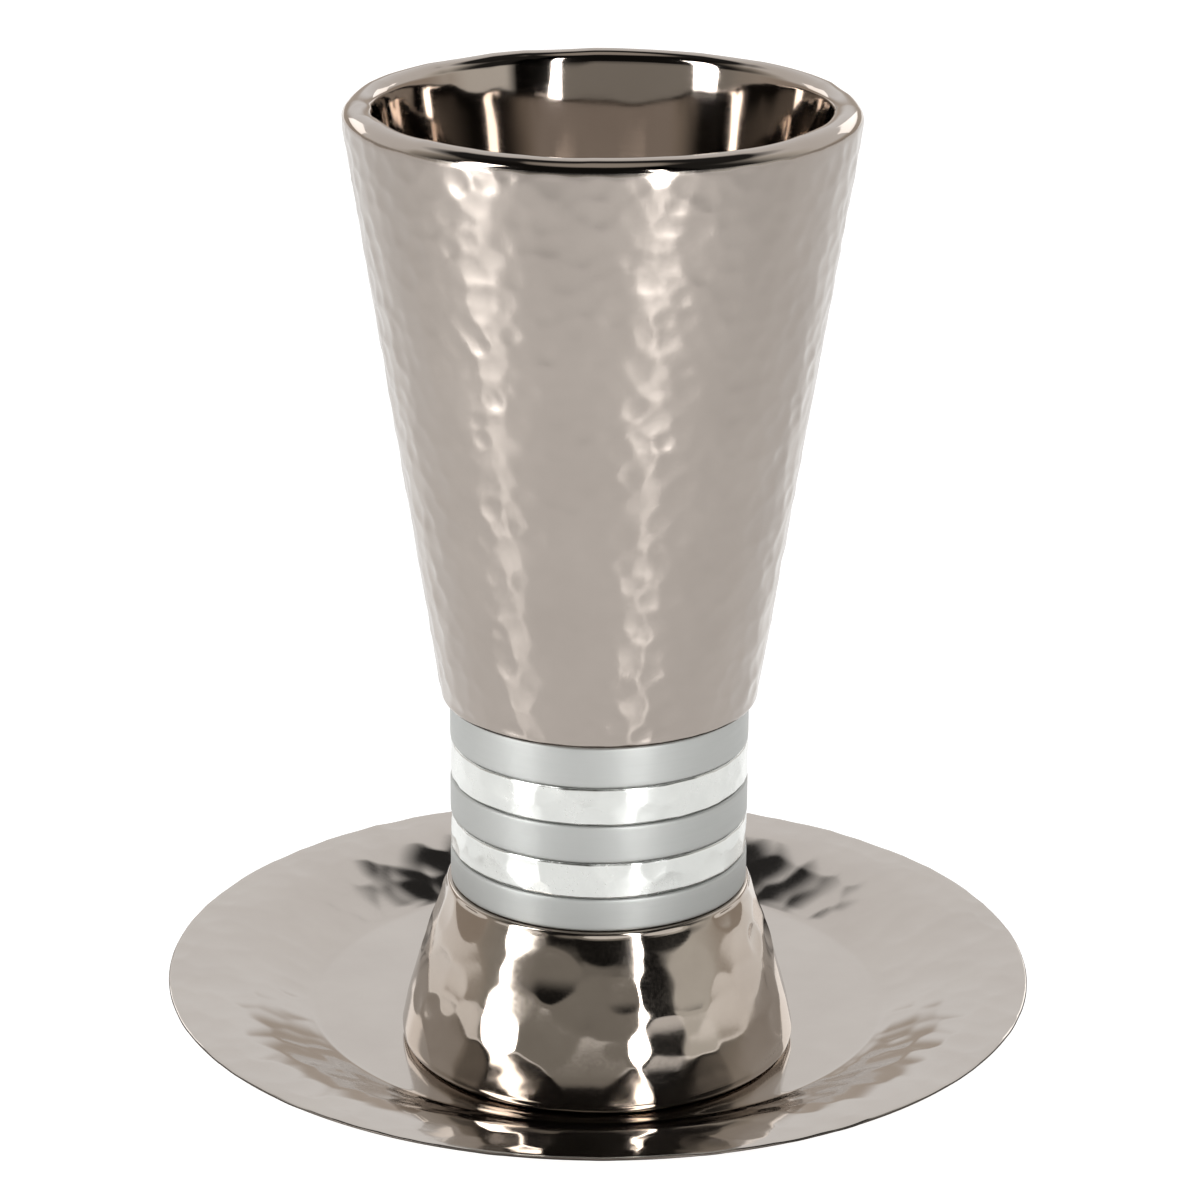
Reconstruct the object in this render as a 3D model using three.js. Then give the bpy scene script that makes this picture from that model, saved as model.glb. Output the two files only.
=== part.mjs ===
// Kiddush cup standing on its saucer, in millimetres, +Z up.
// A hammered conical bowl stands on a stack of five metal rings and a flared foot.
// The origin is the centre of the saucer's underside, and the cup stands nearest the -Y edge.
import * as THREE from "three";

// Saucer
const SAUCER_RADIUS = 65;
const SAUCER_SHEET = 1.25; // thickness of the metal, and so the height of the well's floor
const WELL_RADIUS = 43;
const RIM_RISE = 5.75; // from the well's floor to the saucer's edge
const RIM_SLOPE_INSIDE = 0.4; // the broad rim starts steep at the well
const RIM_SLOPE_OUTSIDE = 0.06; // and is nearly flat at the edge
const RIM_BEND = 8; // width over which the one slope turns into the other

// Cup, from the bottom up
const CUP_OFFSET_Y = -12; // the cup stands forward of the saucer's middle
const FOOT_RADIUS = 29.3;
const FOOT_TOP_RADIUS = 22.3;
const FOOT_HEIGHT = 25.75;
const FOOT_EDGE_ROUND = 1.75; // round of the foot's lower edge
const FOOT_SLOPE_BELOW = 0.17; // radius lost for each unit of height, just above the lower edge
const FOOT_SLOPE_ABOVE = 0.35; // and under the rings
const RING_RADIUS = 21.8;
const RING_CHAMFER = 0.25;
const RINGS = [
  { name: "ring_satin_bottom", height: 5, hammered: false },
  { name: "ring_hammered_lower", height: 5.5, hammered: true },
  { name: "ring_satin_middle", height: 5.75, hammered: false },
  { name: "ring_hammered_upper", height: 5.75, hammered: true },
  { name: "ring_satin_top", height: 6.25, hammered: false },
];
const BOWL_HEIGHT = 88;
const BOWL_BASE_RADIUS = 23;
const BOWL_TOP_RADIUS = 36.8; // where the cone would end with no round on the rim
const BOWL_BASE_ROUND = 1.25;
const RIM_OUTER_ROUND = 2.4; // the lip is full and round, with a narrow flat on top
const RIM_INNER_ROUND = 1.8;
const MOUTH_RADIUS = 31.7;
const INSIDE_FLOOR = 6; // thickness of metal under the hollow
const INSIDE_FLOOR_RADIUS = 18.5; // where the hollow's wall would meet its floor
const INSIDE_FLOOR_ROUND = 5;

// Hammer marks: shallow round dishes, laid in rows that each start at a new angle
const SAUCER_MARK = { pitch: 6.5, depth: 0.3 };
const FOOT_MARK = { pitch: 6, depth: 0.3 };
const RING_MARK = { pitch: 4.5, depth: 0.2 };

const SEGMENTS = 60;
const GOLDEN_TURN = Math.PI * (3 - Math.sqrt(5));
const NEAR = 0.1; // margin that keeps the hammer off edges and flat faces

const nickelPolished = { color: 0x9d948c, roughness: 0.12, metalness: 1 };
const nickelSatin = { color: 0xa59c94, roughness: 0.35, metalness: 1 };
const aluminiumSatin = { color: 0xc6cac8, roughness: 0.45, metalness: 1 };
const aluminiumHammered = { color: 0xdfe2e0, roughness: 0.2, metalness: 1 };

const point = (radius, height) => new THREE.Vector2(radius, height);

// Points along a round between two angles, the ends included.
function arc(centre, radius, fromDegrees, toDegrees, steps) {
  const points = [];
  for (let i = 0; i <= steps; i++) {
    const angle = THREE.MathUtils.degToRad(fromDegrees + ((toDegrees - fromDegrees) * i) / steps);
    points.push(point(centre.x + radius * Math.cos(angle), centre.y + radius * Math.sin(angle)));
  }
  return points;
}

// Points along a smooth curve that leaves each of its ends towards the corner.
function bend(from, corner, to, steps) {
  return new THREE.QuadraticBezierCurve(from, corner, to).getPoints(steps);
}

// Where two lines of a profile meet, each given by a point and its rise for each unit of radius.
function crossing(a, slopeA, b, slopeB) {
  const radius = (b.y - a.y + slopeA * a.x - slopeB * b.x) / (slopeA - slopeB);
  return point(radius, a.y + slopeA * (radius - a.x));
}

// Spins a profile of (radius, height) points round the Z axis into one closed solid.
function lathe(profile) {
  return new THREE.LatheGeometry(profile, SEGMENTS).rotateX(Math.PI / 2);
}

// Centres of hammer marks on a turned surface: a row of marks for each point of the path.
function markRows(path, pitch) {
  const centres = [];
  path.forEach((place, row) => {
    const count = Math.round((2 * Math.PI * place.x) / pitch);
    for (let i = 0; i < count; i++) {
      const angle = (2 * Math.PI * i) / count + row * GOLDEN_TURN;
      centres.push(new THREE.Vector3(place.x * Math.cos(angle), place.x * Math.sin(angle), place.y));
    }
  });
  return centres;
}

// Sinks the surface under each mark along the inward direction given for a place on it.
function hammer(geometry, centres, mark, inwardAt) {
  const position = geometry.getAttribute("position");
  const reach = mark.pitch / Math.sqrt(2);
  const place = new THREE.Vector3();
  for (let i = 0; i < position.count; i++) {
    place.fromBufferAttribute(position, i);
    const nearest = Math.min(...centres.map((centre) => centre.distanceTo(place)));
    const inward = inwardAt(place);
    if (!inward || nearest >= reach) continue;
    place.addScaledVector(inward, mark.depth * (1 - (nearest / reach) ** 2));
    position.setXYZ(i, place.x, place.y, place.z);
  }
  return geometry;
}

// Direction from a place towards the Z axis.
const towardsAxis = (place) => new THREE.Vector3(-place.x, -place.y, 0).normalize();

// Flat-floored saucer with a broad hammered rim.
function saucerGeometry() {
  const wellEdge = point(WELL_RADIUS, SAUCER_SHEET);
  const rimEdge = point(SAUCER_RADIUS, SAUCER_SHEET + RIM_RISE);
  const corner = crossing(wellEdge, RIM_SLOPE_INSIDE, rimEdge, RIM_SLOPE_OUTSIDE);
  const bendStart = point(corner.x - RIM_BEND / 2, corner.y - (RIM_SLOPE_INSIDE * RIM_BEND) / 2);
  const bendEnd = point(corner.x + RIM_BEND / 2, corner.y + (RIM_SLOPE_OUTSIDE * RIM_BEND) / 2);
  const rim = new THREE.CurvePath();
  rim.add(new THREE.LineCurve(wellEdge, bendStart));
  rim.add(new THREE.QuadraticBezierCurve(bendStart, corner, bendEnd));
  rim.add(new THREE.LineCurve(bendEnd, rimEdge));
  const rimTop = rim.getSpacedPoints(8);
  const underside = (place) => point(place.x, place.y - SAUCER_SHEET);
  const edgeBevel = SAUCER_SHEET / 4;
  const profile = [
    point(0, 0),
    point(WELL_RADIUS / 2, 0),
    ...rimTop.slice(0, -1).map(underside),
    point(rimEdge.x - edgeBevel, rimEdge.y - SAUCER_SHEET),
    point(rimEdge.x, rimEdge.y - SAUCER_SHEET + edgeBevel),
    ...rimTop.toReversed(),
    point(WELL_RADIUS / 2, SAUCER_SHEET),
    point(0, SAUCER_SHEET),
  ];
  const rows = Math.round(rim.getLength() / SAUCER_MARK.pitch);
  const path = Array.from({ length: rows }, (_, i) => rim.getPoint((i + 0.5) / rows));
  const down = new THREE.Vector3(0, 0, -1);
  const betweenEdges = rimTop.slice(1, -1);
  const onRimTop = (place) => {
    const onProfile = point(Math.hypot(place.x, place.y), place.z);
    return betweenEdges.some((top) => top.distanceTo(onProfile) < NEAR) ? down : null;
  };
  return hammer(lathe(profile), markRows(path, SAUCER_MARK.pitch), SAUCER_MARK, onRimTop);
}

// Flared foot with a rounded lower edge and hammered flank.
function footGeometry() {
  const top = point(FOOT_TOP_RADIUS, FOOT_HEIGHT);
  const widest = point(FOOT_RADIUS, FOOT_EDGE_ROUND);
  const corner = crossing(widest, -1 / FOOT_SLOPE_BELOW, top, -1 / FOOT_SLOPE_ABOVE);
  const flank = bend(widest, corner, top, 8);
  const edge = arc(point(FOOT_RADIUS - FOOT_EDGE_ROUND, FOOT_EDGE_ROUND), FOOT_EDGE_ROUND, -90, 0, 3);
  const profile = [point(0, 0), ...edge.slice(0, -1), ...flank, point(0, FOOT_HEIGHT)];
  const rows = Math.round(FOOT_HEIGHT / FOOT_MARK.pitch);
  const path = new THREE.QuadraticBezierCurve(widest, corner, top).getSpacedPoints(rows);
  const onFlank = (place) =>
    place.z > FOOT_EDGE_ROUND / 2 && place.z < FOOT_HEIGHT - NEAR ? towardsAxis(place) : null;
  return hammer(lathe(profile), markRows(path, FOOT_MARK.pitch), FOOT_MARK, onFlank);
}

// Flat disc with chamfered edges, its side plain or hammered.
function ringGeometry(height, hammered) {
  const sideRows = hammered ? 3 : 1;
  const side = Array.from({ length: sideRows + 1 }, (_, i) =>
    point(RING_RADIUS, RING_CHAMFER + ((height - 2 * RING_CHAMFER) * i) / sideRows),
  );
  const profile = [
    point(0, 0),
    point(RING_RADIUS - RING_CHAMFER, 0),
    ...side,
    point(RING_RADIUS - RING_CHAMFER, height),
    point(0, height),
  ];
  const geometry = lathe(profile);
  if (!hammered) return geometry;
  const onSide = (place) =>
    place.z > RING_CHAMFER + NEAR && place.z < height - RING_CHAMFER - NEAR ? towardsAxis(place) : null;
  return hammer(geometry, markRows([point(RING_RADIUS, height / 2)], RING_MARK.pitch), RING_MARK, onSide);
}

// Thick-walled conical bowl, open at the top, with a rounded rim.
function bowlGeometry() {
  const outerSlope = (BOWL_TOP_RADIUS - BOWL_BASE_RADIUS) / BOWL_HEIGHT;
  const outerAt = (height) => BOWL_BASE_RADIUS + outerSlope * height;
  const innerSlope = (MOUTH_RADIUS - INSIDE_FLOOR_RADIUS) / (BOWL_HEIGHT - INSIDE_FLOOR);
  const innerAt = (height) => INSIDE_FLOOR_RADIUS + innerSlope * (height - INSIDE_FLOOR);
  const lowest = BOWL_BASE_ROUND;
  const highest = BOWL_HEIGHT - RIM_OUTER_ROUND;
  const outerRows = 6;
  const outside = Array.from({ length: outerRows + 1 }, (_, i) => {
    const height = lowest + ((highest - lowest) * i) / outerRows;
    return point(outerAt(height), height);
  });
  const baseRound = arc(point(outerAt(lowest) - BOWL_BASE_ROUND, lowest), BOWL_BASE_ROUND, -90, 0, 3);
  const outerRound = arc(point(outerAt(highest) - RIM_OUTER_ROUND, highest), RIM_OUTER_ROUND, 0, 90, 5);
  const innerRound = arc(
    point(MOUTH_RADIUS + RIM_INNER_ROUND, BOWL_HEIGHT - RIM_INNER_ROUND),
    RIM_INNER_ROUND,
    90,
    180,
    4,
  );
  const hollowEdge = point(innerAt(INSIDE_FLOOR + INSIDE_FLOOR_ROUND), INSIDE_FLOOR + INSIDE_FLOOR_ROUND);
  const floorEdge = point(INSIDE_FLOOR_RADIUS - INSIDE_FLOOR_ROUND, INSIDE_FLOOR);
  const profile = [
    point(0, 0),
    ...baseRound.slice(0, -1),
    ...outside,
    ...outerRound.slice(1),
    ...innerRound,
    ...bend(hollowEdge, point(INSIDE_FLOOR_RADIUS, INSIDE_FLOOR), floorEdge, 4),
    point(0, INSIDE_FLOOR),
  ];
  return lathe(profile);
}

function piece(name, geometry, finish, height = 0) {
  const mesh = new THREE.Mesh(geometry, new THREE.MeshStandardMaterial(finish));
  mesh.name = name;
  mesh.position.z = height;
  return mesh;
}

const cup = new THREE.Group();
cup.position.set(0, CUP_OFFSET_Y, SAUCER_SHEET);
cup.add(piece("foot", footGeometry(), nickelPolished));
let stackHeight = FOOT_HEIGHT;
for (const ring of RINGS) {
  const finish = ring.hammered ? aluminiumHammered : aluminiumSatin;
  cup.add(piece(ring.name, ringGeometry(ring.height, ring.hammered), finish, stackHeight));
  stackHeight += ring.height;
}
cup.add(piece("bowl", bowlGeometry(), nickelSatin, stackHeight));

const set = new THREE.Group();
set.add(piece("saucer", saucerGeometry(), nickelPolished), cup);

export default set;
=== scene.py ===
import math
import random

import bpy
import numpy as np
from mathutils import Matrix, Vector
from mathutils.kdtree import KDTree


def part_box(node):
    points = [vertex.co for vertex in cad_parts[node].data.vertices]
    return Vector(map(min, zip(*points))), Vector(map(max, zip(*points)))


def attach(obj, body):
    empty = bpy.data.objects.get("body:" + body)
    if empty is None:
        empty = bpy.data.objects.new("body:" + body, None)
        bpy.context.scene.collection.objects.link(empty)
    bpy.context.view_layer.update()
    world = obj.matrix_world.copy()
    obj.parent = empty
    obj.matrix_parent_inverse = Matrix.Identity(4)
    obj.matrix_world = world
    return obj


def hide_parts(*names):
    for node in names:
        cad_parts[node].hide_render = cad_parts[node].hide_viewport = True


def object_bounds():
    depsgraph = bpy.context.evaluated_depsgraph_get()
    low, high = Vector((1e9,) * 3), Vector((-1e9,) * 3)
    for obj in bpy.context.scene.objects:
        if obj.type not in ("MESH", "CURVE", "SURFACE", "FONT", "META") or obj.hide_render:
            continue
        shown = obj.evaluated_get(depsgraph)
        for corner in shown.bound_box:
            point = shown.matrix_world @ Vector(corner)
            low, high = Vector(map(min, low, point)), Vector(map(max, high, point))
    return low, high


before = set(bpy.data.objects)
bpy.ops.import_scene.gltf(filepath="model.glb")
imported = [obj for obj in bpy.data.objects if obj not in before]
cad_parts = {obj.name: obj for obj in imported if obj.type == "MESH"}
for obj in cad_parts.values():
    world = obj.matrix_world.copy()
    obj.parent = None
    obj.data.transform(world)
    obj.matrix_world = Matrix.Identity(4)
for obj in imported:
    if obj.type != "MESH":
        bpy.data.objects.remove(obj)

mm = 0.001
fullTurn = 2 * math.pi
boxLow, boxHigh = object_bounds()  # the solids' own box, before anything is dressed

mergeDistance = 0.005 * mm
rowSpacing = 0.87  # rows of hammer marks lie closer than the marks in a row, as in a honeycomb
fewestMarks = 6  # in one row
roundMiddle = 0.3  # how far in from each side a round corner's middle lies, as a share of its radius
tiny = 1e-9  # keeps a point on the axis from dividing by nought


# Helpers for turned and hammered pieces

def middleOf(node):
    low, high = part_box(node)
    return Vector(((low.x + high.x) / 2, (low.y + high.y) / 2, low.z))


def radiusOf(node):
    low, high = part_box(node)
    return (high.x - low.x) / 2


def arcPoints(centre, radius, start, end, steps):
    angles = [math.radians(start + (end - start) * i / steps) for i in range(steps + 1)]
    return [(centre[0] + radius * math.cos(a), centre[1] + radius * math.sin(a)) for a in angles]


def linePoints(start, end, steps):
    return [
        (start[0] + (end[0] - start[0]) * i / steps, start[1] + (end[1] - start[1]) * i / steps)
        for i in range(steps + 1)
    ]


def bendPoints(start, corner, end, steps):
    # an even curve that sets out towards the corner and turns to the end
    points = []
    for i in range(steps + 1):
        t = i / steps
        weights = ((1 - t) ** 2, 2 * t * (1 - t), t ** 2)
        pulls = list(zip(weights, (start, corner, end)))
        points.append((sum(w * p[0] for w, p in pulls), sum(w * p[1] for w, p in pulls)))
    return points


def meetingPoint(a, slopeA, b, slopeB):
    # where two lines of a profile cross, slopes as rise over radius
    radius = (b[1] - a[1] + slopeA * a[0] - slopeB * b[0]) / (slopeA - slopeB)
    return radius, a[1] + slopeA * (radius - a[0])


def turnPiece(name, axis, profile, steps, levels):
    # The profile is drawn corner by corner, then spun round the piece's axis like work on a lathe.
    bpy.ops.object.select_all(action="DESELECT")
    radius, height = profile[0]
    bpy.ops.mesh.primitive_plane_add(size=mm, location=axis + Vector((radius, 0, height)))
    piece = bpy.context.object
    piece.name = piece.data.name = name
    bpy.ops.object.mode_set(mode="EDIT")
    bpy.ops.mesh.merge(type="CENTER")
    for (fromRadius, fromHeight), (toRadius, toHeight) in zip(profile, profile[1:]):
        step = (toRadius - fromRadius, 0, toHeight - fromHeight)
        bpy.ops.mesh.extrude_vertices_move(TRANSFORM_OT_translate={"value": step})
    bpy.ops.mesh.select_all(action="SELECT")
    bpy.ops.mesh.spin(steps=steps, angle=fullTurn, center=axis, axis=(0, 0, 1))
    bpy.ops.mesh.select_all(action="SELECT")
    bpy.ops.mesh.remove_doubles(threshold=mergeDistance)
    bpy.ops.mesh.normals_make_consistent(inside=False)
    bpy.ops.object.mode_set(mode="OBJECT")
    bpy.ops.object.transform_apply(location=True, rotation=True, scale=True)
    smoothing = piece.modifiers.new("fine turning", "SUBSURF")
    smoothing.levels = smoothing.render_levels = levels
    bpy.ops.object.modifier_apply(modifier=smoothing.name)
    bpy.ops.object.shade_smooth()
    return piece


def markRows(path, settings, dice):
    # Hammer blows go round in rows, each one a little off its place and of its own strength.
    pitch = settings["markPitch"]
    marks = []
    for row, (radius, height) in enumerate(path):
        count = max(fewestMarks, round(fullTurn * radius / pitch))
        for i in range(count):
            angle = fullTurn * (i + 0.5 * (row % 2) + dice.uniform(-1, 1) * settings["jitter"]) / count
            lift = dice.uniform(-1, 1) * settings["jitter"] * pitch
            reach = pitch * dice.uniform(*settings["markReach"])
            depth = settings["markDepth"] * dice.uniform(*settings["blowStrength"])
            marks.append((radius, angle, height, lift, reach, depth))
    return marks


def spreadRows(start, end, pitch):
    # even rows along a straight flank
    count = max(1, round(math.dist(start, end) / (pitch * rowSpacing)))
    shares = [(i + 0.5) / count for i in range(count)]
    return [(start[0] + (end[0] - start[0]) * s, start[1] + (end[1] - start[1]) * s) for s in shares]


def hammerPiece(piece, axis, marks, towards, reaches, sharpness=6):
    # Every blow leaves a shallow round dish. Neighbours meet in ridges, crisper where sharpness is higher.
    mesh = piece.data
    count = len(mesh.vertices)
    places = np.empty(count * 3)
    mesh.vertices.foreach_get("co", places)
    places = places.reshape(-1, 3)
    local = places - np.array(axis)
    tree = KDTree(count)
    for i in range(count):
        tree.insert(places[i], i)
    tree.balance()
    dish = np.zeros(count)
    for radius, angle, height, lift, reach, depth in marks:
        centre = axis + Vector((radius * math.cos(angle), radius * math.sin(angle), height))
        centre += lift * towards["along"](radius, angle, height)
        for _, i, distance in tree.find_range(centre, reach):
            dish[i] += (depth * (1 - (distance / reach) ** 2) / mm) ** sharpness
    dish = dish ** (1 / sharpness) * mm * reaches(np.hypot(local[:, 0], local[:, 1]), local[:, 2])
    places += towards["inward"](local) * dish[:, None]
    mesh.vertices.foreach_set("co", places.ravel())
    mesh.update()


def smoothStep(value, low, high):
    t = np.clip((value - low) / (high - low), 0, 1)
    return t * t * (3 - 2 * t)


def flankDirections(slope):
    # for a flank whose radius grows by slope for each unit of height
    tilt = math.hypot(1, slope)

    def along(radius, angle, height):
        return Vector((slope * math.cos(angle), slope * math.sin(angle), 1)) / tilt

    def inward(local):
        radius = np.hypot(local[:, 0], local[:, 1]) + tiny
        rise = np.full(len(local), slope)
        return np.stack([-local[:, 0] / radius, -local[:, 1] / radius, rise], 1) / tilt

    return {"along": along, "inward": inward}


def normalDirections(piece):
    # straight into the surface, wherever it faces; these marks have no lift, so along only fills its place
    normals = np.empty(len(piece.data.vertices) * 3)
    piece.data.vertices.foreach_get("normal", normals)

    def along(radius, angle, height):
        return Vector((0, 0, 1))

    def inward(local):
        return -normals.reshape(-1, 3)

    return {"along": along, "inward": inward}


def plateDirections():
    # straight down into a plate that lies nearly flat
    def along(radius, angle, height):
        return Vector((math.cos(angle), math.sin(angle), 0))

    def inward(local):
        return np.tile(np.array([0.0, 0.0, -1.0]), (len(local), 1))

    return {"along": along, "inward": inward}


# Helpers for materials

def linear(hexColour):
    channels = [int(hexColour[i:i + 2], 16) / 255 for i in (1, 3, 5)]
    return [c / 12.92 if c <= 0.04045 else ((c + 0.055) / 1.055) ** 2.4 for c in channels] + [1.0]


def addNode(tree, kind, sockets=None, **settings):
    # sockets holds a number or colour for an input, or the output that feeds it
    node = tree.nodes.new(kind)
    for key, value in settings.items():
        setattr(node, key, value)
    for key, value in (sockets or {}).items():
        named = [item for item in node.inputs if item.name == key and item.enabled]
        socket = node.inputs[key] if isinstance(key, int) else named[0]
        if isinstance(value, bpy.types.NodeSocket):
            tree.links.new(value, socket)
        else:
            socket.default_value = value
    return node


def colourOf(mixNode):
    # a Mix node keeps one result for each kind of value
    return [output for output in mixNode.outputs if output.enabled][0]


def metalMaterial(name, finish):
    # Broad clouds shift the colour and a fine grain breaks the gloss. The grain is drawn coarser than real
    # polishing or turning lines, which would be too fine to show.
    material = bpy.data.materials.new(name)
    material.use_nodes = True
    tree = material.node_tree
    shader = tree.nodes["Principled BSDF"]
    shader.inputs["Metallic"].default_value = 1.0
    place = addNode(tree, "ShaderNodeTexCoord").outputs["Object"]
    cloud = addNode(tree, "ShaderNodeTexNoise", {
        "Vector": place, "Scale": 1 / finish["cloud"], "Detail": 4.0, "Roughness": 0.6,
    })
    tint = addNode(tree, "ShaderNodeMix", {
        "Factor": cloud.outputs["Fac"], "A": linear(finish["dark"]), "B": linear(finish["light"]),
    }, data_type="RGBA")
    tree.links.new(colourOf(tint), shader.inputs["Base Color"])
    stretched = addNode(tree, "ShaderNodeMapping", {"Vector": place, "Scale": finish["grainStretch"]})
    grain = addNode(tree, "ShaderNodeTexNoise", {
        "Vector": stretched.outputs["Vector"], "Scale": 1 / finish["grain"], "Detail": 3.0,
    })
    wear = addNode(tree, "ShaderNodeMath", {
        0: cloud.outputs["Fac"], 1: grain.outputs["Fac"],
    }, operation="ADD")
    low, high = finish["roughness"]
    rough = addNode(tree, "ShaderNodeMapRange", {
        # the two noises mostly add up to a value in this range
        "Value": wear.outputs[0], "From Min": 0.6, "From Max": 1.4, "To Min": low, "To Max": high,
    })
    tree.links.new(rough.outputs["Result"], shader.inputs["Roughness"])
    bump = addNode(tree, "ShaderNodeBump", {
        "Height": grain.outputs["Fac"],
        "Strength": finish["grainStrength"], "Distance": finish["grainDepth"],
    })
    tree.links.new(bump.outputs["Normal"], shader.inputs["Normal"])
    return material


# Camera, floor and light

cameraPlace = {
    "back": 593.91 * mm, "height": 277.1 * mm, "pitch": 19.62, "roll": 0.32,
    "lens": 128.31, "sensorWidth": 36, "nearest": 10 * mm,
}


def makeCamera():
    data = bpy.data.cameras.new("camera")
    data.lens = cameraPlace["lens"]
    data.sensor_width = cameraPlace["sensorWidth"]
    data.clip_start = cameraPlace["nearest"]
    camera = bpy.data.objects.new("camera", data)
    bpy.context.scene.collection.objects.link(camera)
    turn = Matrix.Rotation(math.radians(90 - cameraPlace["pitch"]), 4, "X")
    roll = Matrix.Rotation(math.radians(cameraPlace["roll"]), 4, "Z")
    place = Matrix.Translation((0, -cameraPlace["back"], cameraPlace["height"]))
    camera.matrix_world = place @ turn @ roll
    bpy.context.scene.camera = camera
    print("camera ready")


makeCamera()

studio = {
    "floorSize": 8.0,
    "floorColour": "#C4C4C4",
    "floorGlow": 0.76,
    "floorRoughness": 0.2,
    "strips": [
        # the first two stand in front and draw the bright streaks, the others stand well behind
        {"azimuth": -56, "distance": 0.38, "width": 0.08, "low": 0.004, "high": 0.5, "radiance": 10.5},
        {"azimuth": 26, "distance": 0.38, "width": 0.05, "low": 0.004, "high": 0.5, "radiance": 15.5},
        {"azimuth": 148, "distance": 1.1, "width": 0.5, "low": 0.3, "high": 0.62, "radiance": 1.3},
        {"azimuth": -140, "distance": 1.1, "width": 0.5, "low": 0.3, "high": 0.62, "radiance": 1.3},
    ],
    # the walls' colour by azimuth in degrees, which is 0 at the camera and grows to its right
    "walls": [
        (-180, "#FFFFFF"), (-112, "#FFFFFF"), (-98, "#D9D5CE"), (-80, "#BDB8B0"), (-68, "#A5A29C"),
        (29, "#A5A29C"), (31, "#0B0A09"), (45, "#0B0A09"), (51, "#F6F5F0"), (98, "#F4F2EC"),
        (112, "#FFFFFF"), (180, "#FFFFFF"),
    ],
    "frontToBack": (-0.35, 0.25),
    # the heights below are sines of the angle above the horizon
    "backWallFoot": (0.10, 0.27),
    "backWallShade": "#C2B7AC",
    "frontWallTop": (0.20, 0.29),
    "backWallTop": (0.72, 0.81),
    "ceiling": 0.03,
    # a soft light straight overhead, there for views from above
    "overhead": (0.93, 0.985),
    "overheadColour": "#C4BFB8",
}


def makeStrip(strip):
    angle = math.radians(strip["azimuth"])
    height = strip["high"] - strip["low"]
    data = bpy.data.lights.new("strip light", "AREA")
    data.shape = "RECTANGLE"
    data.size, data.size_y = strip["width"], height
    data.energy = strip["radiance"] * math.pi * strip["width"] * height
    light = bpy.data.objects.new("strip light", data)
    bpy.context.scene.collection.objects.link(light)
    away = Vector((math.sin(angle), -math.cos(angle), 0))
    light.location = away * strip["distance"] + Vector((0, 0, (strip["low"] + strip["high"]) / 2))
    light.rotation_mode = "QUATERNION"
    light.rotation_quaternion = away.to_track_quat("Z", "Y")


def makeStudio():
    scene = bpy.context.scene
    scene.view_settings.view_transform = "Standard"
    bpy.ops.object.select_all(action="DESELECT")
    bpy.ops.mesh.primitive_plane_add(size=studio["floorSize"], location=(0, 0, boxLow.z))
    floor = bpy.context.object
    floor.name = "floor"
    acrylic = bpy.data.materials.new("white backlit acrylic")
    acrylic.use_nodes = True
    shader = acrylic.node_tree.nodes["Principled BSDF"]
    shader.inputs["Base Color"].default_value = linear(studio["floorColour"])
    shader.inputs["Roughness"].default_value = studio["floorRoughness"]
    shader.inputs["Emission Color"].default_value = (1, 1, 1, 1)
    shader.inputs["Emission Strength"].default_value = studio["floorGlow"]
    floor.data.materials.append(acrylic)
    for strip in studio["strips"]:
        makeStrip(strip)
    makeRoom(scene)
    print("studio ready")


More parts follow.
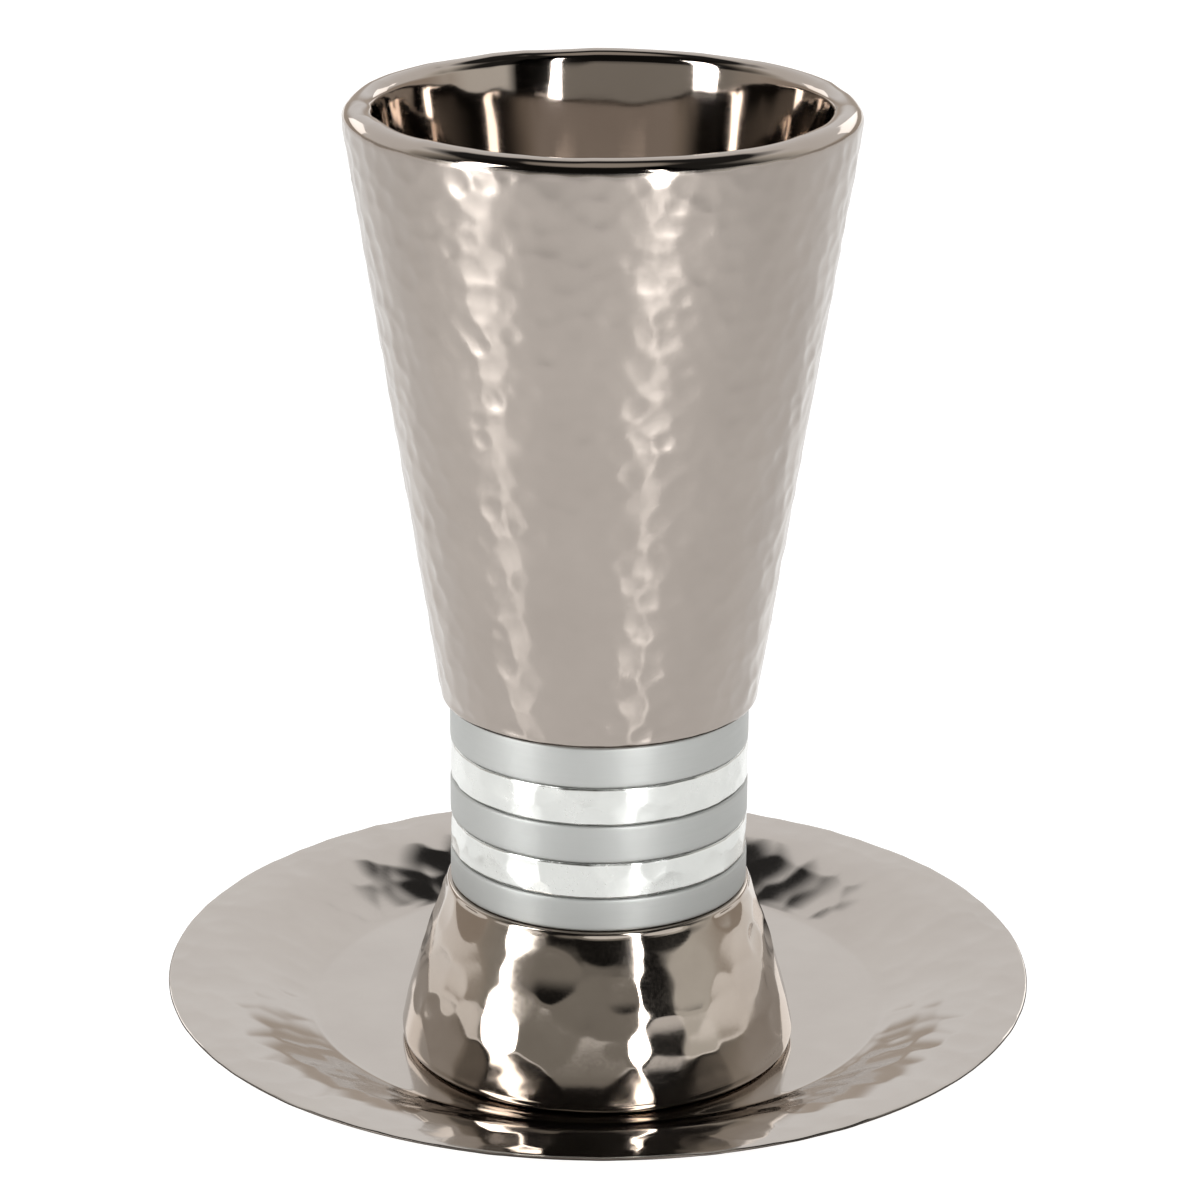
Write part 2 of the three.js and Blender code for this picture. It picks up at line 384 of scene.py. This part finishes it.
def makeRoom(scene):
    # White walls behind with a shaded foot, a warm grey front with one black gap, and a dark ceiling with a
    # soft light in its middle. The camera itself sees plain white.
    world = bpy.data.worlds.new("studio room")
    scene.world = world
    world.use_nodes = True
    tree = world.node_tree
    tree.nodes.clear()
    direction = addNode(tree, "ShaderNodeTexCoord").outputs["Generated"]
    parts = addNode(tree, "ShaderNodeSeparateXYZ", {"Vector": direction})
    across, back, up = parts.outputs["X"], parts.outputs["Y"], parts.outputs["Z"]
    front = addNode(tree, "ShaderNodeMath", {0: back, 1: -1.0}, operation="MULTIPLY")
    azimuth = addNode(tree, "ShaderNodeMath", {0: across, 1: front.outputs[0]}, operation="ARCTAN2")
    share = addNode(tree, "ShaderNodeMapRange", {
        "Value": azimuth.outputs[0], "From Min": -math.pi, "From Max": math.pi,
    })
    walls = addNode(tree, "ShaderNodeValToRGB", {"Fac": share.outputs["Result"]})
    setRamp(walls, [(angle / 360 + 0.5, colour) for angle, colour in studio["walls"]])
    low, high = studio["frontToBack"]
    behind = addNode(tree, "ShaderNodeMapRange", {
        "Value": back, "From Min": low, "From Max": high,
    }, interpolation_type="SMOOTHSTEP")
    low, high = studio["backWallFoot"]
    foot = addNode(tree, "ShaderNodeMapRange", {
        "Value": up, "From Min": low, "From Max": high, "To Min": 1.0, "To Max": 0.0,
    }, interpolation_type="SMOOTHSTEP")
    dim = addNode(tree, "ShaderNodeMath", {
        0: foot.outputs["Result"], 1: behind.outputs["Result"],
    }, operation="MULTIPLY")
    shaded = addNode(tree, "ShaderNodeMix", {
        "Factor": dim.outputs[0], "A": walls.outputs["Color"], "B": linear(studio["backWallShade"]),
    }, data_type="RGBA")
    tops = [
        addNode(tree, "ShaderNodeMapRange", {
            "Value": up, "From Min": low, "From Max": high, "To Min": 1.0, "To Max": studio["ceiling"],
        })
        for low, high in (studio["frontWallTop"], studio["backWallTop"])
    ]
    top = addNode(tree, "ShaderNodeMix", {
        "Factor": behind.outputs["Result"],
        "A": tops[0].outputs["Result"], "B": tops[1].outputs["Result"],
    })
    lit = addNode(tree, "ShaderNodeVectorMath", {
        0: colourOf(shaded), "Scale": colourOf(top),
    }, operation="SCALE")
    low, high = studio["overhead"]
    overhead = addNode(tree, "ShaderNodeMapRange", {
        "Value": up, "From Min": low, "From Max": high,
    }, interpolation_type="SMOOTHSTEP")
    room = addNode(tree, "ShaderNodeMix", {
        "Factor": overhead.outputs["Result"],
        "A": lit.outputs["Vector"], "B": linear(studio["overheadColour"]),
    }, data_type="RGBA")
    seen = addNode(tree, "ShaderNodeMix", {
        "Factor": addNode(tree, "ShaderNodeLightPath").outputs["Is Camera Ray"],
        "A": colourOf(room), "B": (1, 1, 1, 1),
    }, data_type="RGBA")
    shade = addNode(tree, "ShaderNodeBackground", {"Color": colourOf(seen)})
    addNode(tree, "ShaderNodeOutputWorld", {"Surface": shade.outputs["Background"]})


def setRamp(node, stops):
    elements = node.color_ramp.elements
    while len(elements) < len(stops):
        elements.new(0.5)
    for element, (place, colour) in zip(elements, stops):
        element.position = place
        element.color = linear(colour)


makeStudio()


# Saucer: polished nickel, hammered on its rim, mirror-smooth in the well

saucerLook = {
    "sheet": 1.25 * mm, "edgeSheet": 0.75 * mm, "thinning": (6 * mm, 1 * mm),  # measured in from the edge
    "wellRadius": 43 * mm, "wellRings": (12 * mm, 26 * mm, 36 * mm, 41 * mm),
    "crease": 0.35 * mm, "creaseRise": 0.1 * mm,
    "slopeInside": 0.40, "slopeOutside": 0.06, "rimBend": 8 * mm, "rimInset": 0.3 * mm,
    "steps": 128, "levels": 2,
    "markPitch": 5.2 * mm, "markDepth": 0.17 * mm, "markReach": (0.62, 0.95), "blowStrength": (0.35, 1.3),
    "firstRow": 3 * mm, "hammerFade": (0.3 * mm, 2 * mm), "jitter": 0.3, "seed": 11,
    # warm grey mirror with faint clouding from hand polishing
    "nickel": {
        "dark": "#B2AAA3", "light": "#C0B9B2", "roughness": (0.05, 0.13), "cloud": 14 * mm,
        "grain": 0.5 * mm, "grainStretch": (1, 1, 1), "grainStrength": 0.15, "grainDepth": 0.01 * mm,
    },
    # painted shade: a thin dark, rougher band round the saucer's outer edge, on the faces that turn away
    # from above, where the edge falls in shadow
    "paintedShadeEdge": {
        "dark": "#4A4541", "light": "#5C5650", "roughness": (0.35, 0.5), "cloud": 6 * mm,
        "grain": 0.5 * mm, "grainStretch": (1, 1, 0.3), "grainStrength": 0.2, "grainDepth": 0.01 * mm,
    },
    "paintedShadeEdgeWidth": 0.6 * mm, "paintedShadeEdgeFacing": 0.75,
}


def makeSaucer():
    look = saucerLook
    axis = middleOf("saucer")
    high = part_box("saucer")[1].z - axis.z
    radius = radiusOf("saucer")
    sheet, well = look["sheet"], look["wellRadius"]
    wellEdge, rimEdge = (well, sheet), (radius - look["rimInset"], high)
    corner = meetingPoint(wellEdge, look["slopeInside"], rimEdge, look["slopeOutside"])
    half = look["rimBend"] / 2
    bendStart = (corner[0] - half, corner[1] - half * look["slopeInside"])
    bendEnd = (corner[0] + half, corner[1] + half * look["slopeOutside"])
    rimTop = linePoints(wellEdge, bendStart, steps=4)[:-1]
    rimTop += bendPoints(bendStart, corner, bendEnd, steps=5)
    rimTop += linePoints(bendEnd, rimEdge, steps=6)[1:]
    radii, heights = zip(*rimTop)
    edgeSheet = look["edgeSheet"]
    thinFrom, thinTo = look["thinning"]

    def sheetAt(r):
        # the metal thins towards its edge
        return float(np.interp(r, (radius - thinFrom, radius - thinTo), (sheet, edgeSheet)))

    rimBelow = [(r, h - sheetAt(r)) for r, h in rimTop[::2]]
    edgeMiddle = (radius - edgeSheet / 2, high - edgeSheet / 2)
    edge = arcPoints(edgeMiddle, edgeSheet / 2, start=-40, end=70, steps=3)
    flat = look["wellRings"]
    crease = look["crease"]
    profile = [(0, 0)] + [(r, 0) for r in flat] + rimBelow[:-1] + edge + rimTop[-2:0:-1]
    profile += [(well + crease, sheet + look["creaseRise"]), (well - crease, sheet)]
    profile += [(r, sheet) for r in flat[::-1]] + [(0, sheet)]
    piece = turnPiece("hammered_saucer", axis, profile, look["steps"], look["levels"])
    dice = random.Random(look["seed"])
    rowRadii = np.arange(well + look["firstRow"], radius, look["markPitch"] * rowSpacing)
    marks = markRows([(r, float(np.interp(r, radii, heights))) for r in rowRadii], look, dice)
    fadeFrom, fadeTo = look["hammerFade"]

    def reaches(r, h):
        # only the upper side of the rim is struck
        above = h > np.interp(r, radii, heights) - 0.5 * edgeSheet
        return smoothStep(r, well + fadeFrom, well + fadeTo) * above

    hammerPiece(piece, axis, marks, plateDirections(), reaches)
    piece.data.materials.append(metalMaterial("hammered polished nickel plate", look["nickel"]))
    # the second material is painted shade, laid on the faces near the outer edge that turn away from above
    piece.data.materials.append(metalMaterial("painted shade on the nickel plate edge", look["paintedShadeEdge"]))
    edgeFrom = radius - look["paintedShadeEdgeWidth"]
    for face in piece.data.polygons:
        place = face.center - axis
        if math.hypot(place.x, place.y) > edgeFrom and face.normal.z < look["paintedShadeEdgeFacing"]:
            face.material_index = 1
    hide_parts("saucer")
    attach(piece, "root")
    print("saucer ready")


makeSaucer()


# Foot: coarsely hammered polished nickel

footLook = {
    "radius": 29.3 * mm, "topRadius": 22.3 * mm, "soleRings": (14 * mm, 24 * mm), "topRing": 14 * mm,
    "edgeRound": 1.75 * mm, "slopeBelow": 0.17, "slopeAbove": 0.35,
    "topRound": 0.5 * mm, "topSwell": 0.08 * mm, "steps": 84, "levels": 2,
    "markPitch": 5.0 * mm, "markDepth": 0.21 * mm, "markReach": (0.55, 0.98), "blowStrength": (0.2, 1.4),
    "lowestRow": 4.2 * mm, "lowestPitch": 6.6 * mm, "lowestDepth": 0.28 * mm, "lowestStrength": (0.7, 1.2),
    "fadeBelow": (0.3 * mm, 1.6 * mm), "fadeAbove": (0.9 * mm, 0.3 * mm),  # in from the sole and the top
    "markSlope": -0.24,  # the flank's mean slope, radius over height
    "jitter": 0.42, "seed": 5,
    # dark, liquid mirror broken up by the hammer's dishes
    "nickel": {
        "dark": "#9B9188", "light": "#B0A79D", "roughness": (0.07, 0.14), "cloud": 9 * mm,
        "grain": 0.5 * mm, "grainStretch": (1, 1, 1), "grainStrength": 0.12, "grainDepth": 0.01 * mm,
    },
}


def footMarks(look, dice, widest, corner, top):
    # scattered rows up the flank, and one row of broad, deep blows low down
    rows = round(top[1] / (look["markPitch"] * rowSpacing))
    radii, heights = zip(*bendPoints(widest, corner, top, steps=rows))
    lowest = look["lowestRow"]
    path = [(r, h) for r, h in zip(radii, heights) if h > lowest + look["markPitch"] / 2]
    marks = markRows(path, look, dice)
    broad = {
        **look, "markPitch": look["lowestPitch"], "markDepth": look["lowestDepth"],
        "blowStrength": look["lowestStrength"],
    }
    return marks + markRows([(float(np.interp(lowest, heights, radii)), lowest)], broad, dice)


def makeFoot():
    look = footLook
    axis = middleOf("foot")
    low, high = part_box("foot")
    height = high.z - low.z
    radius, edge = look["radius"], look["edgeRound"]
    top = (look["topRadius"], height)
    widest = (radius, edge)
    corner = meetingPoint(widest, -1 / look["slopeBelow"], top, -1 / look["slopeAbove"])
    flank = bendPoints(widest, corner, top, steps=17)
    roundBelow = arcPoints((radius - edge, edge), edge, start=-90, end=0, steps=5)
    topRound = look["topRound"]
    topInset = topRound * roundMiddle
    profile = [(0, 0)] + [(r, 0) for r in look["soleRings"]] + roundBelow[:-1] + flank[:-1]
    profile += [(top[0] + look["topSwell"], height - topRound), (top[0] - topInset, height - topInset)]
    profile += [(top[0] - topRound, height), (look["topRing"], height), (0, height)]
    piece = turnPiece("hammered_foot", axis, profile, look["steps"], look["levels"])
    marks = footMarks(look, random.Random(look["seed"]), widest, corner, top)
    belowFrom, belowTo = look["fadeBelow"]
    aboveFrom, aboveTo = look["fadeAbove"]

    def reaches(r, h):
        return smoothStep(h, belowFrom, belowTo) * (1 - smoothStep(h, height - aboveFrom, height - aboveTo))

    hammerPiece(piece, axis, marks, flankDirections(look["markSlope"]), reaches)
    piece.data.materials.append(metalMaterial("coarse hammered polished nickel", look["nickel"]))
    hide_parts("foot")
    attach(piece, "root")
    print("foot ready")


makeFoot()


# Rings: satin and bright hammered aluminium by turns

ringLook = {
    "edgeRound": 0.42 * mm, "faceRings": (0.55, 0.93), "sideStepsHammered": 9, "sideStepsSatin": 4,
    "steps": 84, "levels": 2,
    "markPitch": 3.9 * mm, "markDepth": 0.2 * mm, "markReach": (0.6, 0.95), "blowStrength": (0.3, 1.3),
    "markHeights": (0.2, 0.8), "hammerFade": (0.95, 0.98), "jitter": 0.3, "seed": 23,
    # pale, even and slightly milky, with fine lines from turning
    "satin": {
        "dark": "#A9ABA9", "light": "#B4B5B3", "roughness": (0.46, 0.56), "cloud": 12 * mm,
        "grain": 0.35 * mm, "grainStretch": (0.04, 0.04, 1), "grainStrength": 0.3, "grainDepth": 0.01 * mm,
    },
    # whiter and glossier than the satin rings, with soft facets
    "bright": {
        "dark": "#C2C4C1", "light": "#D6D7D4", "roughness": (0.2, 0.3), "cloud": 5 * mm,
        "grain": 0.5 * mm, "grainStretch": (1, 1, 1), "grainStrength": 0.15, "grainDepth": 0.01 * mm,
    },
}


def hammerRing(piece, node, axis, radius, height):
    look = ringLook
    dice = random.Random(f"{look['seed']} {node}")
    marks = markRows([(radius, height * share) for share in look["markHeights"]], look, dice)
    fadeFrom, fadeTo = look["hammerFade"]

    def reaches(r, h):
        # the side is struck and the flat faces aren't
        return smoothStep(r, radius * fadeFrom, radius * fadeTo)

    hammerPiece(piece, axis, marks, flankDirections(0), reaches)


def makeRing(node, name, hammered, material):
    look = ringLook
    axis = middleOf(node)
    low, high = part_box(node)
    height = high.z - low.z
    radius = radiusOf(node)
    edge = look["edgeRound"]
    sideSteps = look["sideStepsHammered"] if hammered else look["sideStepsSatin"]
    side = linePoints((radius, edge), (radius, height - edge), sideSteps)
    lower = arcPoints((radius - edge, edge), edge, start=-90, end=0, steps=3)
    upper = arcPoints((radius - edge, height - edge), edge, start=0, end=90, steps=3)
    inside = [r * radius for r in look["faceRings"]]
    profile = [(0, 0)] + [(r, 0) for r in inside] + lower[:-1] + side + upper[1:]
    profile += [(r, height) for r in inside[::-1]] + [(0, height)]
    piece = turnPiece(name, axis, profile, look["steps"], look["levels"])
    if hammered:
        hammerRing(piece, node, axis, radius, height)
    piece.data.materials.append(material)
    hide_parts(node)
    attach(piece, "root")


def makeRings():
    satin = metalMaterial("satin anodised aluminium", ringLook["satin"])
    bright = metalMaterial("hammered bright aluminium", ringLook["bright"])
    makeRing("ring_satin_bottom", "satin_ring_bottom", False, satin)
    makeRing("ring_hammered_lower", "hammered_ring_lower", True, bright)
    makeRing("ring_satin_middle", "satin_ring_middle", False, satin)
    makeRing("ring_hammered_upper", "hammered_ring_upper", True, bright)
    makeRing("ring_satin_top", "satin_ring_top", False, satin)
    print("rings ready")


makeRings()


# Bowl: finely hammered satin nickel outside, mirror inside

bowlLook = {
    "baseRadius": 23 * mm, "topRadius": 36.8 * mm, "mouthRadius": 31.7 * mm,
    "baseRound": 1.25 * mm, "outerRound": 2.4 * mm, "innerRound": 1.8 * mm,
    "insideFloor": 6 * mm, "insideFloorRadius": 18.5 * mm, "insideFloorRound": 5 * mm,
    "soleRings": (12 * mm, 20 * mm), "insideFloorRing": 6 * mm, "steps": 84, "levels": 2,
    "markPitch": 3.1 * mm, "markDepth": 0.19 * mm, "markReach": (0.62, 0.98), "blowStrength": (0.3, 1.3),
    "jitter": 0.34, "seed": 41,
    # the hammering fades out within the wall, at the base, and at the lip, where it counts in lip rounds
    "wallFade": (-2.6 * mm, -1.2 * mm), "baseFade": (0.5 * mm, 1.6 * mm), "shoulderFade": (1.2, 0.6),
    "lipMarks": 15, "lipMarkDepth": 0.2 * mm, "lipMarkReach": (4 * mm, 8 * mm), "lipMarkStrength": (0.3, 1),
    "lipMarkJitter": 0.4, "lipMarkAngles": (5, 165), "lipMarkFade": (8 * mm, 5 * mm),
    "insideMarks": 90, "insideMarkDepth": 0.06 * mm, "insideMarkReach": (7 * mm, 12 * mm),
    "insideMarkStrength": (0.4, 1), "insideMarkInset": 3 * mm,
    # soft warm grey that only glints in the dishes
    "satin": {
        "dark": "#958D86", "light": "#A09891", "roughness": (0.16, 0.25), "cloud": 10 * mm,
        "grain": 0.45 * mm, "grainStretch": (1, 1, 0.35), "grainStrength": 0.35, "grainDepth": 0.012 * mm,
    },
    # deep mirror inside and over the rim
    "mirror": {
        "dark": "#A2978E", "light": "#AFA59C", "roughness": (0.04, 0.09), "cloud": 16 * mm,
        "grain": 0.4 * mm, "grainStretch": (0.1, 0.1, 1), "grainStrength": 0.1, "grainDepth": 0.006 * mm,
    },
    # the mirror covers the top of the lip and all that lies deeper in the wall, down to the inside floor
    "mirrorFromLip": 0.62, "mirrorInset": 1.9 * mm, "mirrorFromFloor": 0.9,
}


def lipMarks(look, dice, middle, height):
    # faint broad dents that leave the round lip slightly wavy
    outer, count, loose = look["outerRound"], look["lipMarks"], look["lipMarkJitter"]
    marks = []
    for i in range(count):
        angle = fullTurn * (i + dice.uniform(-loose, loose)) / count
        side = math.radians(dice.uniform(*look["lipMarkAngles"]))
        radius = middle + outer * math.cos(side)
        markHeight = height - outer + outer * math.sin(side)
        reach = dice.uniform(*look["lipMarkReach"])
        depth = look["lipMarkDepth"] * dice.uniform(*look["lipMarkStrength"])
        marks.append((radius, angle, markHeight, 0, reach, depth))
    return marks


def insideMarks(look, dice, lowest, highest, innerAt):
    # very shallow, wide waves that bend the reflections inside
    marks = []
    for _ in range(look["insideMarks"]):
        height = dice.uniform(lowest, highest)
        reach = dice.uniform(*look["insideMarkReach"])
        depth = look["insideMarkDepth"] * dice.uniform(*look["insideMarkStrength"])
        marks.append((innerAt(height), fullTurn * dice.random(), height, 0, reach, depth))
    return marks


def makeBowl():
    look = bowlLook
    axis = middleOf("bowl")
    low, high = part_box("bowl")
    height = high.z - low.z
    slope = (look["topRadius"] - look["baseRadius"]) / height
    outer, inner, base = look["outerRound"], look["innerRound"], look["baseRound"]
    floor, floorRound = look["insideFloor"], look["insideFloorRound"]
    floorRadius = look["insideFloorRadius"]
    insideSlope = (look["mouthRadius"] - floorRadius) / (height - floor)

    def outerAt(h):
        return look["baseRadius"] + slope * h

    def innerAt(h):
        return floorRadius + insideSlope * (h - floor)

    shoulderHeight = height - outer
    shoulderMiddle = outerAt(shoulderHeight) - outer
    lipMiddle = look["mouthRadius"] + inner
    outside = linePoints((outerAt(base), base), (outerAt(shoulderHeight), shoulderHeight), steps=42)
    below = arcPoints((outerAt(base) - base, base), base, start=-90, end=0, steps=3)
    shoulder = arcPoints((shoulderMiddle, shoulderHeight), outer, start=0, end=90, steps=4)
    lip = arcPoints((lipMiddle, height - inner), inner, start=90, end=180, steps=3)
    wallFoot = (innerAt(floor + floorRound), floor + floorRound)
    inside = linePoints(lip[-1], wallFoot, steps=7)
    hollow = bendPoints(wallFoot, (floorRadius, floor), (floorRadius - floorRound, floor), steps=4)
    profile = [(0, 0)] + [(r, 0) for r in look["soleRings"]] + below[:-1] + outside + shoulder[1:]
    profile += lip + inside[1:-1] + hollow + [(look["insideFloorRing"], floor), (0, floor)]
    piece = turnPiece("hammered_bowl", axis, profile, look["steps"], look["levels"])
    dice = random.Random(look["seed"])
    marks = markRows(spreadRows((outerAt(0), 0), (outerAt(height), height), look["markPitch"]), look, dice)
    shoulderFrom, shoulderTo = look["shoulderFade"]

    def reaches(r, h):
        onOutside = smoothStep(r - outerAt(h), *look["wallFade"])
        belowLip = 1 - smoothStep(h, height - outer * shoulderFrom, height - outer * shoulderTo)
        return onOutside * smoothStep(h, *look["baseFade"]) * belowLip

    hammerPiece(piece, axis, marks, flankDirections(slope), reaches)
    marks = lipMarks(look, dice, (lipMiddle + shoulderMiddle) / 2, height)
    lipFrom, lipTo = look["lipMarkFade"]

    def reachesLip(r, h):
        return smoothStep(h, height - lipFrom, height - lipTo)

    hammerPiece(piece, axis, marks, normalDirections(piece), reachesLip)
    marks = insideMarks(look, dice, floor + floorRound, height - inner, innerAt)

    def reachesInside(r, h):
        return 1.0 * (r < outerAt(h) - look["insideMarkInset"])

    hammerPiece(piece, axis, marks, normalDirections(piece), reachesInside, sharpness=2)
    piece.data.materials.append(metalMaterial("hammered satin nickel", look["satin"]))
    piece.data.materials.append(metalMaterial("mirror nickel", look["mirror"]))
    for face in piece.data.polygons:
        place = face.center - axis
        onLip = place.z > height - outer * look["mirrorFromLip"]
        withinWall = math.hypot(place.x, place.y) < outerAt(place.z) - look["mirrorInset"]
        if onLip or (withinWall and place.z > floor * look["mirrorFromFloor"]):
            face.material_index = 1
    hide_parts("bowl")
    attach(piece, "root")
    print(f"bowl ready, {len(piece.data.polygons) * 2} triangles")


makeBowl()
